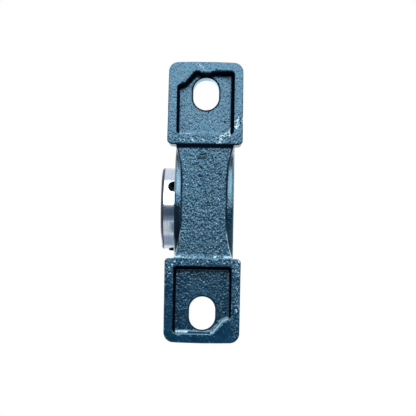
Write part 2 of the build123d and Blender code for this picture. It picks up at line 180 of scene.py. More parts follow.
# ---- Small helpers for shader nodes ----
def feed(tree, socket, value):
    """Links an output to the socket, or sets the socket's value."""
    if isinstance(value, bpy.types.NodeSocket):
        tree.links.new(value, socket)
    else:
        socket.default_value = value


def add_node(tree, kind, inputs=None, **settings):
    """Adds one node, sets its properties, feeds its inputs, and returns it."""
    made = tree.nodes.new(kind)
    for name, value in settings.items():
        setattr(made, name, value)
    for name, value in (inputs or {}).items():
        feed(tree, made.inputs[name], value)
    return made


def tree_of(*values):
    """The node tree of the first output among the values."""
    return next(value.id_data for value in values if isinstance(value, bpy.types.NodeSocket))


def math_node(operation, *values, clamp=False):
    """Output of a Math node on values and outputs."""
    made = add_node(tree_of(*values), "ShaderNodeMath", dict(enumerate(values)), operation=operation,
                    use_clamp=clamp)
    return made.outputs[0]


def product(*values):
    """Output of Math nodes that multiply the values."""
    return reduce(lambda first, second: math_node("MULTIPLY", first, second), values)


def largest(*values):
    """Output of Math nodes that keep the greatest of the values."""
    return reduce(lambda first, second: math_node("MAXIMUM", first, second), values)


def vector_node(operation, *values):
    """Number or vector from a Vector Math node on values and outputs."""
    made = add_node(
        tree_of(*values), "ShaderNodeVectorMath", dict(enumerate(values)), operation=operation)
    return made.outputs["Value" if operation in ("DOT_PRODUCT", "DISTANCE", "LENGTH") else "Vector"]


def ramp_node(value, low, high):
    """Output of a smooth ramp: 0 below low, 1 above high, and 3t^2 - 2t^3 between them."""
    made = add_node(
        tree_of(value), "ShaderNodeMapRange", {"Value": value, "From Min": low, "From Max": high},
        interpolation_type="SMOOTHSTEP")
    return made.outputs["Result"]


def fall_node(value, low, high):
    """Output of the ramp turned round: 1 below low and 0 above high."""
    return math_node("SUBTRACT", 1.0, ramp_node(value, low, high))


def noise_node(place, scale, detail, roughness=0.5, distortion=0.0):
    """Value of a Noise Texture node at a place."""
    made = add_node(tree_of(place), "ShaderNodeTexNoise", {
        "Vector": place, "Scale": scale, "Detail": detail, "Roughness": roughness,
        "Distortion": distortion})
    return made.outputs["Fac"]


def bump_node(height, distance, strength):
    """Normal from a height."""
    made = add_node(
        tree_of(height), "ShaderNodeBump", {"Strength": strength, "Distance": distance, "Height": height})
    return made.outputs["Normal"]


def mix_colour(factor, first, second):
    """Output of a colour mix: first where factor is 0 and second where it is 1."""
    tree = tree_of(factor)
    made = add_node(tree, "ShaderNodeMix", data_type="RGBA")
    for name, value in (("Factor_Float", factor), ("A_Color", first), ("B_Color", second)):
        feed(tree, next(socket for socket in made.inputs if socket.identifier == name), value)
    return next(socket for socket in made.outputs if socket.identifier == "Result_Color")


def attribute_node(tree, name):
    """Value of a mesh attribute."""
    return add_node(tree, "ShaderNodeAttribute", attribute_name=name).outputs["Fac"]


def object_place(tree):
    """Object coordinates, which are the frame's own metres."""
    return add_node(tree, "ShaderNodeTexCoord").outputs["Object"]


def stretched_place(tree, scale):
    """Object coordinates times a scale along each axis."""
    return add_node(
        tree, "ShaderNodeMapping", {"Vector": object_place(tree), "Scale": scale}).outputs["Vector"]


def new_group(name, inputs, outputs):
    """An empty shader group with the named float or vector sockets, and its end nodes."""
    group = bpy.data.node_groups.new(name, "ShaderNodeTree")
    for label, kind, default in inputs:
        socket = group.interface.new_socket(label, in_out="INPUT", socket_type=kind)
        if default is not None:
            socket.default_value = default
    for label, kind in outputs:
        group.interface.new_socket(label, in_out="OUTPUT", socket_type=kind)
    return group, group.nodes.new("NodeGroupInput"), group.nodes.new("NodeGroupOutput")


def place_group(tree, group, inputs):
    """Places a shader group in a material, feeds its inputs, and returns its first output."""
    return add_node(tree, "ShaderNodeGroup", inputs, node_tree=group).outputs[0]


def new_material(name, values):
    """A material whose Principled shader has these values, and its tree and shader."""
    material = bpy.data.materials.new(name)
    material.use_nodes = True
    tree = material.node_tree
    shader = tree.nodes["Principled BSDF"]
    for socket, value in values.items():
        shader.inputs[socket].default_value = value
    return material, tree, shader


def finish_shader(tree, shader, colour, roughness, normal):
    """Feeds the shader's colour, roughness and normal, which change over the surface."""
    for name, value in (("Base Color", colour), ("Roughness", roughness), ("Normal", normal)):
        tree.links.new(value, shader.inputs[name])


def shared_group(build):
    """The shader group that the function builds, built once and then used again."""
    if build.__name__ not in bpy.data.node_groups:
        build().name = build.__name__
    return bpy.data.node_groups[build.__name__]


def opaque(colour, level=1.0):
    """The colour times a level, cut to 1, with an alpha of 1."""
    return (*(min(1.0, part * level) for part in colour), 1.0)


# ---- Shared effects ----
def sand_grain_group():
    """Height of sand-cast grain round 0: wide and small noise, times the Sand input."""
    group, given, result = new_group(
        "sand grain",
        (("Grain Width", "NodeSocketFloat", 0.0013), ("Sand", "NodeSocketFloat", 1.0)),
        (("Height", "NodeSocketFloat"),))
    place = stretched_place(group, (1.0, 1.7, 1.2))
    scale = math_node("DIVIDE", 1.0, given.outputs["Grain Width"])
    coarse = noise_node(place, scale, detail=0.0, distortion=0.5)
    fine = noise_node(place, product(scale, 2.1), detail=1.0)
    small = product(math_node("SUBTRACT", fine, 0.5), 0.25)
    total = math_node("ADD", math_node("SUBTRACT", coarse, 0.5), small)
    group.links.new(product(total, given.outputs["Sand"]), result.inputs["Height"])
    return group


def wear_group():
    """Mask of crisp flecks: where noise of the given width rises above 1 minus the Amount."""
    group, given, result = new_group(
        "wear flecks",
        (("Amount", "NodeSocketFloat", 0.0), ("Fleck Width", "NodeSocketFloat", 0.001)),
        (("Mask", "NodeSocketFloat"),))
    scale = math_node("DIVIDE", 1.0, given.outputs["Fleck Width"])
    noise = noise_node(object_place(group), scale, detail=3.0, roughness=0.7, distortion=0.2)
    level = math_node("ADD", ramp_node(noise, 0.30, 0.72), given.outputs["Amount"])
    group.links.new(ramp_node(level, 0.95, 1.08), result.inputs["Mask"])
    return group


def stroke_group():
    """Mask of a straight mark on the underside.

    With s the share of the way from Start to End that lies nearest, cut to 0..1, the mask is 1 where
    the distance to that point is under half the Half Width, and falls to 0 at the Half Width.
    """
    group, given, result = new_group(
        "stroke",
        (("Start", "NodeSocketVector", None), ("End", "NodeSocketVector", None),
         ("Half Width", "NodeSocketFloat", 0.001)),
        (("Mask", "NodeSocketFloat"),))
    start, end = given.outputs["Start"], given.outputs["End"]
    offset = vector_node("SUBTRACT", vector_node("MULTIPLY", object_place(group), (1.0, 1.0, 0.0)), start)
    run = vector_node("SUBTRACT", end, start)
    along, length = vector_node("DOT_PRODUCT", offset, run), vector_node("DOT_PRODUCT", run, run)
    share = math_node("DIVIDE", along, length, clamp=True)
    nearest = add_node(
        group, "ShaderNodeVectorMath", {0: run, "Scale": share}, operation="SCALE").outputs["Vector"]
    ratio = math_node("DIVIDE", vector_node("DISTANCE", offset, nearest), given.outputs["Half Width"])
    group.links.new(fall_node(ratio, 0.5, 1.0), result.inputs["Mask"])
    return group


# ---- Materials ----
# Marks on the underside: start and end in millimetres along X and Y, half the width, and how strong
# where that is less than 1.
SCUFF_BAND = ((55.6, 24.2), (41.2, 9.6))
SCRATCHES_AND_PAINTED_GLINTS = (
    ((93.9, -5.7), (89.0, -1.1), 0.28, 0.45), ((93.4, -3.9), (88.6, 0.4), 0.22, 0.30),
    ((-72.4, 22.8), (-73.8, 23.1), 0.65, 0.9), ((-39.6, 23.7), (-40.9, 24.5), 0.55, 0.8),
    # Painted glints on the -X foot's hollow floor, drawn as pale marks:
    ((-53.6, 0.8), (-54.0, 1.2), 0.40, 0.9), ((-47.8, -11.4), (-48.2, -11.2), 0.40, 0.9),
    ((-20.4, -14.6), (-20.2, -12.4), 0.45, 0.5))
PITS = (
    ((73.6, 15.1), (73.2, 15.6), 0.55), ((55.6, 13.0), (55.0, 13.6), 0.65),
    ((34.6, -4.0), (34.9, -1.8), 0.90, 0.72), ((31.4, -2.6), (32.0, 0.6), 0.60, 0.95),
    ((29.0, -6.2), (29.4, 0.6), 1.30, 0.72), ((24.6, -7.5), (25.2, -5.5), 1.20, 0.6),
    ((23.2, -2.6), (22.2, -1.4), 1.10, 0.85), ((17.2, -3.6), (16.4, -1.0), 0.90, 0.8),
    ((14.6, -1.6), (13.6, -0.6), 0.80, 0.8), ((10.6, -3.0), (9.8, -1.4), 0.90, 0.75),
    ((6.5, 1.0), (5.0, 1.4), 0.80, 0.65), ((-4.5, -2.2), (-4.9, -0.6), 0.70, 0.7))
SCUFFS_AND_PAINTED_HIGHLIGHT = (
    (*SCUFF_BAND, 3.5, 0.56), ((-40.9, -22.0), (-40.9, 23.0), 2.2, 0.16),
    # A painted highlight by the lit step up to the -X foot, drawn as pale flecks:
    ((-37.5, -15.2), (-37.5, 15.2), 0.9, 0.34),
    ((-42.0, 23.6), (-72.0, 24.0), 2.6, 0.20), ((-41.0, -21.5), (-50.0, -23.0), 2.6, 0.28),
    ((42.0, -16.0), (40.6, 6.0), 2.0, 0.18))

GRIME_COLOUR = (0.003, 0.026, 0.028)
PALE_COLOUR = (0.30, 0.46, 0.54)        # enamel worn thin, and painted light and glints
# Colour of pits and specks, and of painted shade
PIT_AND_PAINTED_SHADE_COLOUR = (0.0012, 0.0025, 0.010)
BARE_IRON = (0.62, 0.64, 0.66)
CHAMFER_COLOUR = (0.055, 0.062, 0.095)


def placed_strokes(tree, group, marks):
    """Union of the strokes, on the faces of the feet and web that look down."""
    strokes = []
    for start, end, half_width, *amount in marks:
        mask = place_group(tree, group, {
            "Start": (start[0] / 1000, start[1] / 1000, 0.0), "End": (end[0] / 1000, end[1] / 1000, 0.0),
            "Half Width": half_width / 1000})
        strokes.append(product(mask, *amount))
    return product(largest(*strokes), attribute_node(tree, "under"))


def enamel_material(finish, grain, wear, stroke):
    """Dark teal gloss enamel over sand-cast iron, with its scratches, pits, chips and grime, and with
    painted shade, painted light and painted glints.
    """
    material, tree, shader = new_material("enamel on cast iron", {
        "Specular IOR Level": 0.98, "Specular Tint": opaque(finish.enamel_glint)})
    place = object_place(tree)
    sand = attribute_node(tree, "sand")
    machined = attribute_node(tree, "machined")
    # Where the enamel is pale: scratches, chips on ridges and in the scuffed bands, pale flecks in the
    # grain, two painted glints, a painted highlight by the -X foot's step, and painted light on faces
    # turned towards +X.
    scratch_and_painted_glint = placed_strokes(tree, stroke, SCRATCHES_AND_PAINTED_GLINTS)
    scuff_and_painted_highlight = placed_strokes(tree, stroke, SCUFFS_AND_PAINTED_HIGHLIGHT)
    edge = product(attribute_node(tree, "ridge"), 0.20)
    small = place_group(
        tree, wear, {"Amount": largest(edge, product(sand, 0.064)), "Fleck Width": 0.0012})
    large = place_group(tree, wear, {"Amount": scuff_and_painted_highlight, "Fleck Width": 0.0019})
    chip_and_painted_highlight = largest(product(large, ramp_node(scuff_and_painted_highlight, 0.02, 0.12)), small)
    pale = largest(chip_and_painted_highlight, scratch_and_painted_glint, attribute_node(tree, "painted_light"))
    # Where it is dark: pits, grime and specks in the grain, and painted shade in creases, on walls and
    # along edges.
    dirt = noise_node(place, 420.0, detail=3.0)
    pit = product(placed_strokes(tree, stroke, PITS), ramp_node(dirt, 0.36, 0.52))
    grime = product(ramp_node(dirt, 0.48, 0.72), sand)
    speck = product(place_group(tree, wear, {"Amount": 0.34, "Fleck Width": 0.0015}), sand)
    dark = largest(
        pit, product(grime, 0.20), product(speck, 0.45), attribute_node(tree, "shade"))
    # The height of grain, swells, pits and chips.
    pattern = place_group(tree, grain, {"Grain Width": 0.0014, "Sand": sand})
    swell = noise_node(place, 260.0, detail=1.0)
    height = math_node("MULTIPLY_ADD", swell, 0.2, pattern)
    height = math_node("SUBTRACT", height, product(pit, 0.5))
    height = math_node("ADD", height, product(pale, 0.12))
    tone = ramp_node(noise_node(place, 90.0, detail=3.0), 0.3, 0.7)
    base = mix_colour(tone, opaque(finish.enamel, 0.8), opaque(finish.enamel, 1.3))
    for mask, colour in (
            (grime, GRIME_COLOUR), (pale, PALE_COLOUR), (dark, PIT_AND_PAINTED_SHADE_COLOUR), (machined, BARE_IRON)):
        base = mix_colour(mask, base, opaque(colour))
    rough = math_node("MULTIPLY_ADD", tone, 0.05, finish.enamel_roughness)
    # Where shade is painted the enamel is made rough here and metallic below, so that it stays black and
    # reflects almost nothing.
    rough = largest(rough, product(dark, 0.9), product(machined, 0.32))
    finish_shader(tree, shader, base, rough, bump_node(height, distance=0.00038, strength=1.0))
    tree.links.new(largest(machined, product(dark, 0.95)), shader.inputs["Metallic"])
    return material


def ground_steel_material(finish, wear):
    """Bearing steel with grinding lines round the shaft axis and a dark chamfer at the screws' end."""
    material, tree, shader = new_material("ground bearing steel", {"Metallic": 1.0})
    place = object_place(tree)
    lines = noise_node(stretched_place(tree, (1.0, 60.0, 1.0)), 60.0, detail=4.0)
    streak = ramp_node(lines, 0.35, 0.65)
    tone = mix_colour(streak, opaque(finish.steel, 0.78), opaque(finish.steel))
    stain = place_group(tree, wear, {"Amount": 0.12, "Fleck Width": 0.003})
    tone = mix_colour(product(stain, 0.35), tone, opaque(finish.steel, 0.55))
    # The chamfer: near the ring's low end along Y, and near its full radius round the axis.
    split = add_node(tree, "ShaderNodeSeparateXYZ", {"Vector": place})
    end = fall_node(split.outputs["Y"], RING_LOW.y + 0.0017, RING_LOW.y + 0.0021)
    centred = vector_node("ADD", place, (0.0, 0.0, -AXIS_HEIGHT))
    radius = vector_node("LENGTH", vector_node("MULTIPLY", centred, (1.0, 0.0, 1.0)))
    chamfer = product(end, ramp_node(radius, RING_RADIUS - 0.0012, RING_RADIUS - 0.0009))
    tone = mix_colour(chamfer, tone, opaque(CHAMFER_COLOUR))
    rough = math_node("MULTIPLY_ADD", streak, -0.07, 0.23)
    rough = largest(rough, product(chamfer, 0.4))
    finish_shader(tree, shader, tone, rough, bump_node(lines, distance=0.00002, strength=0.35))
    return material


def plain_material(name, colour, metallic, roughness, wear, stretch=(1.0, 1.0, 1.0), grain_scale=800.0,
                   stains=0.15, specular=0.5):
    """A finish with fine grain, stretched along an axis if wanted, and darker, duller stains."""
    material, tree, shader = new_material(name, {"Metallic": metallic, "Specular IOR Level": specular})
    noise = noise_node(stretched_place(tree, stretch), grain_scale, detail=3.0)
    tone = mix_colour(noise, opaque(colour, 0.75), opaque(colour))
    stain = place_group(tree, wear, {"Amount": stains, "Fleck Width": 0.0022})
    tone = mix_colour(product(stain, 0.5), tone, opaque(colour, 0.55))
    rough = math_node("MULTIPLY_ADD", stain, 0.12, roughness)
    finish_shader(tree, shader, tone, rough, bump_node(noise, distance=0.00002, strength=0.4))
    return material


# ---- Surface mathematics ----
def smooth_ramp(value, low, high):
    """0 below low, 1 above high and 3t^2 - 2t^3 between them, over a whole array."""
    part = np.clip((value - low) / (high - low), 0.0, 1.0)
    return part * part * (3.0 - 2.0 * part)


def fall(value, low, high):
    """1 below low, 0 above high and the same smooth ramp between them."""
    return 1.0 - smooth_ramp(value, low, high)


def band(value, start, full, fade, end):
    """0 up to start, 1 from full to fade, 0 past end, and the same smooth ramps between them."""
    return smooth_ramp(value, start, full) * fall(value, fade, end)


def within(value, low, high):
    """True between low and high."""
    return (value > low) & (value < high)


def lattice_noise(points, width, seed):
    """Smooth random field between -1 and 1.

    Random values stand on a cubic lattice of the given width, and the eight round a point are
    blended along each axis with the weight 3t^2 - 2t^3.
    """
    cells = points / width
    corner = np.floor(cells).astype(int)
    part = cells - corner
    part = part * part * (3.0 - 2.0 * part)
    corner -= corner.min(axis=0)
    table = np.random.default_rng(seed).uniform(-1.0, 1.0, corner.max(axis=0) + 2)
    total = np.zeros(len(points))
    for step in np.ndindex(2, 2, 2):
        weight = np.prod(np.where(step, part, 1.0 - part), axis=1)
        total += weight * table[tuple((corner + step).T)]
    return total


def mesh_array(items, name, width, kind=float):
    """The named property of every item of a mesh, as an array of rows of the width."""
    flat = np.empty(len(items) * width, dtype=kind)
    items.foreach_get(name, flat)
    return flat.reshape(-1, width)


def mesh_points(mesh):
    """Places of the mesh's vertices."""
    return mesh_array(mesh.vertices, "co", 3)


def mesh_normals(mesh):
    """Unit normals of the mesh's vertices."""
    return mesh_array(mesh.vertex_normals, "vector", 3)


def put_attribute(mesh, name, values):
    """Stores one value for each vertex under the name."""
    layer = mesh.attributes.new(name, "FLOAT", "POINT")
    layer.data.foreach_set("value", values.astype(np.float32))


def relaxed(values, edges, count, rounds):
    """The values after that many rounds in which each vertex takes the mean of its neighbours."""
    degree = np.bincount(edges.ravel(), minlength=count).astype(float)
    for _ in range(rounds):
        columns = []
        for column in values.reshape(count, -1).T:
            total = np.bincount(edges[:, 0], weights=column[edges[:, 1]], minlength=count)
            total += np.bincount(edges[:, 1], weights=column[edges[:, 0]], minlength=count)
            columns.append(total / degree)
        values = np.stack(columns, axis=1)
    return values


def hollow_depth(mesh, rounds):
    """How far each vertex lies below the relaxed surface, along its normal: above 0 in a crease."""
    points = mesh_points(mesh)
    edges = mesh_array(mesh.edges, "vertices", 2, int)
    calm = relaxed(points, edges, len(points), rounds)
    return np.sum((calm - points) * mesh_normals(mesh), axis=1)


def merge_doubles(source, mesh, distance):
    """Puts the source's faces into the mesh, with corners that lie nearer than the distance made one."""
    work = bmesh.new()
    work.from_mesh(source)
    bmesh.ops.remove_doubles(work, verts=work.verts, dist=distance)
    work.to_mesh(mesh)
    work.free()


def new_piece(name, points, faces, material):
    """A smooth object at the origin from rows of points and rows of corner numbers."""
    mesh = bpy.data.meshes.new(name)
    mesh.from_pydata(points.tolist(), [], faces.tolist())
    merge_doubles(mesh, mesh, PIECE_WELD)
    mesh.shade_smooth()
    mesh.set_sharp_from_angle(angle=SHARP_ANGLE)
    mesh.materials.append(material)
    return add_object(name, mesh)


def grid_faces(rows, columns, closed):
    """Corner numbers of the squares between neighbouring rows and columns, round and round in columns."""
    row = np.arange(rows if closed else rows - 1)[:, None]
    column = np.arange(columns)[None, :]
    above, beside = (row + 1) % rows, (column + 1) % columns
    corners = (row * columns + column, row * columns + beside, above * columns + beside,
               above * columns + column)
    squares = [np.broadcast_to(corner, (row.shape[0], columns)) for corner in corners]
    return np.stack(squares, axis=-1).reshape(-1, 4)


def ring_points(radius, height, origin, axis):
    """Points of a stack of rings about an axis.

    Column j stands at angle a = 2 pi j / columns, and row i of it lies at
    origin + radius[i, j] (cos a u + sin a v) + height[i, j] axis, where u, v and the axis are square to
    each other.
    """
    axis = Vector(axis).normalized()
    across = axis.orthogonal().normalized() if abs(axis.z) < 0.99 else Vector((1, 0, 0))
    u, v, w = (np.array(part) for part in (across, axis.cross(across), axis))
    angle = np.arange(radius.shape[1]) / radius.shape[1] * tau
    out = np.cos(angle)[:, None] * u + np.sin(angle)[:, None] * v
    return (np.array(origin) + radius[..., None] * out + height[..., None] * w).reshape(-1, 3)


def hexagon(flats, columns):
    """Radius of a regular hexagon at each column's angle: half the flats over cos(angle off the flat)."""
    off = (np.arange(columns) / columns * 6 + 0.5) % 1 - 0.5
    return flats / 2 / np.cos(off * tau / 6)


def threaded(height, radius, depth, pitch, columns):
    """Radius of a screw thread at each height and angle.

    The phase is height / pitch less the share of a turn. The groove is a V between flats: its depth is
    1.5 |2 phase - 1| - 0.25, cut to 0..1, times the full depth.
    """
    phase = (height[:, None] / pitch - np.arange(columns) / columns) % 1.0
    return radius - depth * np.clip(1.5 * np.abs(2 * phase - 1) - 0.25, 0.0, 1.0)


def turned_piece(name, rows, origin, axis, closed, material):
    """A piece turned about an axis from (radius, height) pairs of a number or one value per column."""
    radius, height = (
        np.stack([np.broadcast_to(pair[part], COLUMNS) for pair in rows]) for part in (0, 1))
    points = ring_points(radius, height, origin, axis)
    return new_piece(name, points, grid_faces(len(rows), COLUMNS, closed), material)


# ---- The casting ----
# How coarse the sand's grain is, where 1 is full: all over, taken off the feet's sides, on the web and
# more towards +Y, in the scuffed band, and for the +X and the -X foot on rims, more on their inner
# ends, and in hollows.
BODY_GRAIN, SIDE_LOSS, WEB_GRAIN, WEB_EXTRA, SCUFF_EXTRA = 0.55, 0.3, 1.30, 0.2, 1.3
RIM_GRAIN, INNER_RIM_EXTRA, HOLLOW_GRAIN = (0.75, 0.30), (0.4, 0.25), (0.80, 0.62)
SIDE_RIM_EXTRA = (0.45, 0.15)          # the -X foot's rims at +Y and -Y
# Ramps of the masks: from the place where a mask starts to the place where it is full, or from full to
# nothing, in metres. A band has both. X and Y stand for the distance from the middle unless the mask
# says otherwise.
SEAT_EDGE = (SEAT_RADIUS - 0.0003, SEAT_RADIUS + 0.0003)
MOUTH_EDGE = (SEAT_RADIUS + 0.0006, SEAT_RADIUS + 0.0009)
SPOT_EDGE = (NIPPLE_SEAT_RADIUS - 0.0002, NIPPLE_SEAT_RADIUS + 0.0002)
SPOT_Z = (NIPPLE_SEAT_HEIGHT - 0.0002, NIPPLE_SEAT_HEIGHT + 0.0002)
SLOT_EDGE = (0.0001, 0.0004)
SLOT_WALL_Z = (HOLLOW_FLOOR + 0.0004, HOLLOW_FLOOR + 0.0009)
FOOT_X = (FOOT_INNER - 0.001, FOOT_INNER)
FOOT_SIDE_Y = (0.0243, 0.0247)
RIM_Z = (0.0008, 0.0014)
INNER_RIM_X = (0.0440, 0.0475)
SIDE_RIM_Y = (0.0170, 0.0200)
HOLLOW_Z = (0.0065, 0.0085, 0.0102, 0.0106)
HOLLOW_X = (0.0430, 0.0440)
HOLLOW_END_X = (0.0890, 0.0900)
HOLLOW_SIDE_Y = (0.0195, 0.0200)
WEB_Z = (0.0022, 0.0034)
WEB_MIDDLE_Y = (-0.0015, 0.0015)
WEB_EDGE_Y = (WEB_HALF_WIDTH - 0.0016, WEB_HALF_WIDTH - 0.0008)
WEB_EDGE_Z = (0.0030, 0.0040)          # near the -X foot
WEB_CORNER_Z = (0.0060, 0.0080)        # the rest of the web
UNDER_Z, UNDER_FACING = (0.0110, 0.0120), (0.5, 0.8)
SCUFF_REACH, SCUFF_Z = 3.4, (0.0010, 0.0020)    # the reach in millimetres
STEEP = (0.82, 0.94)                   # upright share of the normal
CREASE_DEPTH = (0.00010, 0.00040)
# Painted light on the walls of the hollows that face the light at +X: lines beside the rim, beside the
# floor where Y is below a limit, and past the lug, how far they face +X, where they start and end, and
# how pale the +X and the -X foot's are.
RIM_LINE_Z, FLOOR_LINE_Z, FLOOR_LINE_Y, LUG_LINE_Z = 0.0016, (0.0080, 0.0099), -0.0095, (0.0022, 0.0095)
PALE_FACING, PALE_WALL_Z, PALE_WALL_Y = (0.25, 0.50), (0.0002, 0.0005), (0.0205, 0.0215)
PALE_WALLS = (0.5, 1.0)
# Painted light on the boss's +X flanks: where they start along X, with a shift towards -X for those at
# +Y, where they end, how far off the web's side and how high they are, and how pale those at +Y and -Y
# are. The web's edge towards the
# -X foot carries a painted highlight past a distance from the middle.
PALE_FLANK_X, PALE_FLANK_SHIFT, PALE_FLANK_END_X = (0.0020, 0.0080), 0.008, (0.0300, 0.0340)
PALE_FLANK_OFF, PALE_FLANK_Z, PALE_FLANKS = (0.0006, 0.0014), (0.009, 0.015), (0.15, 0.22)
PALE_EDGE_X, PALE_EDGE = (0.0180, 0.0230), 0.8
# Painted shade: faces turned away from the light at +X, the ring round each slot, the hollows' steep
# walls, their feet at +Y, further out on the -X foot, and at -Y, and the walls at the lug.
AWAY = (0.05, 0.30)
SLOT_RING_MIDDLE, SLOT_RING = 0.0003, (0.0005, 0.0009)
SLOT_RING_Z = (-0.0012, -0.0006, 0.0006, 0.0010)
DARK_WALL_X = (FOOT_INNER + 0.003, FOOT_INNER + 0.004, *HOLLOW_END_X)
DARK_WALL_Y, DARK_WALL_Z = (0.0200, 0.0210), (0.0006, 0.0014, 0.0099, 0.0101)
TOE_X, TOE_Z, TOE_LIMIT_Y = (0.0440, 0.0450, 0.0875, 0.0885), (0.0045, 0.0060, 0.0102, 0.0106), 0.0210
TOE_HIGH_Y, TOE_OUTER_Y, TOE_LOW_Y = (0.0163, 0.0174), (0.0174, 0.0184), (0.0172, 0.0182)
LUG_FACING, LUG_LIMIT_Y, LUG_RIM_Z, LUG_WALL_Z = (0.25, 0.45), 0.0200, 0.0018, (0.0022, 0.0078)
# Painted shade on the web's edges, all of them past the boss and up to the web's side elsewhere, on the
# boss's -X flanks, and on the step up to the +X foot. The last line says how dark each painted shade is,
# and the flanks at -Y and +Y.
DARK_EDGE_X, EDGE_DEPTH, LOW_EDGE_X = (-0.0230, -0.0160), (0.00004, 0.00016), -0.010
WEB_SIDE_Y, BOSS_END_X = WEB_HALF_WIDTH + 0.0008, 0.024
DARK_FLANK_X, DARK_FLANK_END_X = (0.0, 0.0040), -0.030
DARK_FLANK_OFF, DARK_FLANK_Z = (0.0004, 0.0010), (0.008, 0.013)
STEP_MIDDLE_X, STEP_X, STEP_Y, STEP_Z = 0.0376, (0.0013, 0.0019), (0.0225, 0.0240), (0.0026, 0.0036)
DARK_CREASE, DARK_LUG, DARK_EDGE, DARK_STEP, DARK_FLANKS = 0.85, 0.8, 0.9, 0.95, (0.85, 0.1)


def axis_radius(points):
    """Distance of each point from the shaft's axis."""
    return np.hypot(points[:, 0], points[:, 2] - AXIS_HEIGHT)


def slot_distance(points):
    """How far each point lies outside the nearer bolt slot in plan: below 0 inside it."""
    along = np.abs(np.abs(points[:, 0]) - SLOT_MIDDLE)
    return np.hypot(np.maximum(along - SLOT_REACH, 0.0), points[:, 1]) - SLOT_RADIUS


def near_line(points, start, end, reach):
    """1 near the line from start to end in plan, in millimetres, falling to 0 at the reach from it."""
    start, end = np.array(start) / 1000, np.array(end) / 1000
    run = end - start
    share = np.clip(((points[:, :2] - start) @ run) / (run @ run), 0.0, 1.0)
    apart = np.linalg.norm(points[:, :2] - start - share[:, None] * run, axis=1)
    return fall(apart, 0.4 * reach / 1000, reach / 1000)


def by_foot(x, plus, minus):
    """One value in the half at +X and another in the half at -X."""
    return np.where(x > 0, plus, minus)


def machined_share(points):
    """1 on the turned seat, its mouths, the nipple's spot face and the bolt slots' walls, else 0."""
    x, y, z = points.T
    radius = axis_radius(points)
    seat = np.maximum(fall(radius, *SEAT_EDGE), fall(np.hypot(radius, y), *MOUTH_EDGE))
    spot = smooth_ramp(z, *SPOT_Z) * fall(np.hypot(x, y), *SPOT_EDGE)
    slot = fall(slot_distance(points), *SLOT_EDGE) * smooth_ramp(z, *SLOT_WALL_Z)
    return np.maximum(np.maximum(seat, spot), slot)


def sand_share(points):
    """How rough the mould left each place: coarse under the web, calm on the rims."""
    x, y, z = points.T
    along, across = np.abs(x), np.abs(y)
    share = np.full(len(points), BODY_GRAIN)
    share -= SIDE_LOSS * smooth_ramp(across, *FOOT_SIDE_Y)
    web = fall(z, *WEB_Z) * fall(along, *FOOT_X)
    share += web * (WEB_GRAIN + WEB_EXTRA * smooth_ramp(y, *WEB_MIDDLE_Y) - share)
    rim = fall(z, *RIM_Z) * smooth_ramp(along, *FOOT_X)
    calm = by_foot(x, *RIM_GRAIN) + by_foot(x, *INNER_RIM_EXTRA) * fall(along, *INNER_RIM_X)
    high, low = SIDE_RIM_EXTRA
    sides = high * smooth_ramp(y, *SIDE_RIM_Y) + low * smooth_ramp(-y, *SIDE_RIM_Y)
    calm += by_foot(x, 0.0, sides)
    share += rim * (calm - share)
    hollow = band(z, *HOLLOW_Z) * smooth_ramp(along, *HOLLOW_X) * fall(across, *HOLLOW_SIDE_Y)
    share += hollow * (by_foot(x, *HOLLOW_GRAIN) - share)
    share += SCUFF_EXTRA * near_line(points, *SCUFF_BAND, SCUFF_REACH) * fall(z, *SCUFF_Z)
    return share * (1.0 - machined_share(points))


def sand_displacement(points, settings):
    """Offset along the normal: wide swells plus grain, each a smooth random field, never outwards."""
    lumps = lattice_noise(points, settings.lump_width, seed=3)
    pebbles = lattice_noise(points, settings.pebble_width, seed=5)
    offset = settings.lump_height * (lumps - 1.0) / 2
    offset += settings.pebble_height * sand_share(points) * (pebbles - 1.0) / 2
    ball = np.hypot(axis_radius(points), points[:, 1])
    seat = (np.abs(points[:, 1]) < SEAT_HALF_WIDTH) * fall(ball, *SEAT_BALL)
    return offset * (1.0 - machined_share(points)) - SEAT_RELIEF * seat


def steep_share(normals):
    """1 on walls and 0 on faces that look up or down."""
    return fall(np.abs(normals[:, 2]), *STEEP)


def past_lug(x, y):
    """True past the solid corner of the -X foot."""
    return (x < LUG_CORNER[0]) & (y > LUG_CORNER[1])


def painted_light_share(points, normals):
    """Where light is painted: faces turned towards the lamps at +X are drawn pale.

    These are the hollows' walls that face +X, the boss's +X flanks and the web's edges near the -X foot.
    """
    x, y, z = points.T
    along, across = np.abs(x), np.abs(y)
    lines = (z < RIM_LINE_Z) | (within(z, *FLOOR_LINE_Z) & (y < FLOOR_LINE_Y))
    lines = np.where(past_lug(x, y), within(z, *LUG_LINE_Z), lines)
    wall = lines * smooth_ramp(normals[:, 0], *PALE_FACING) * smooth_ramp(z, *PALE_WALL_Z)
    wall = wall * band(along, *HOLLOW_X, *HOLLOW_END_X) * fall(across, *PALE_WALL_Y)
    flank = smooth_ramp(x + PALE_FLANK_SHIFT * (y > 0), *PALE_FLANK_X) * fall(x, *PALE_FLANK_END_X)
    flank = flank * smooth_ramp(across - WEB_HALF_WIDTH, *PALE_FLANK_OFF) * fall(z, *PALE_FLANK_Z)
    edge = steep_share(normals) * fall(z, *WEB_EDGE_Z) * smooth_ramp(across, *WEB_EDGE_Y)
    edge = edge * smooth_ramp(-x, *PALE_EDGE_X) * fall(-x, *FOOT_X)
    return np.max(
        [by_foot(x, *PALE_WALLS) * wall, np.where(y > 0, *PALE_FLANKS) * flank, PALE_EDGE * edge], axis=0)


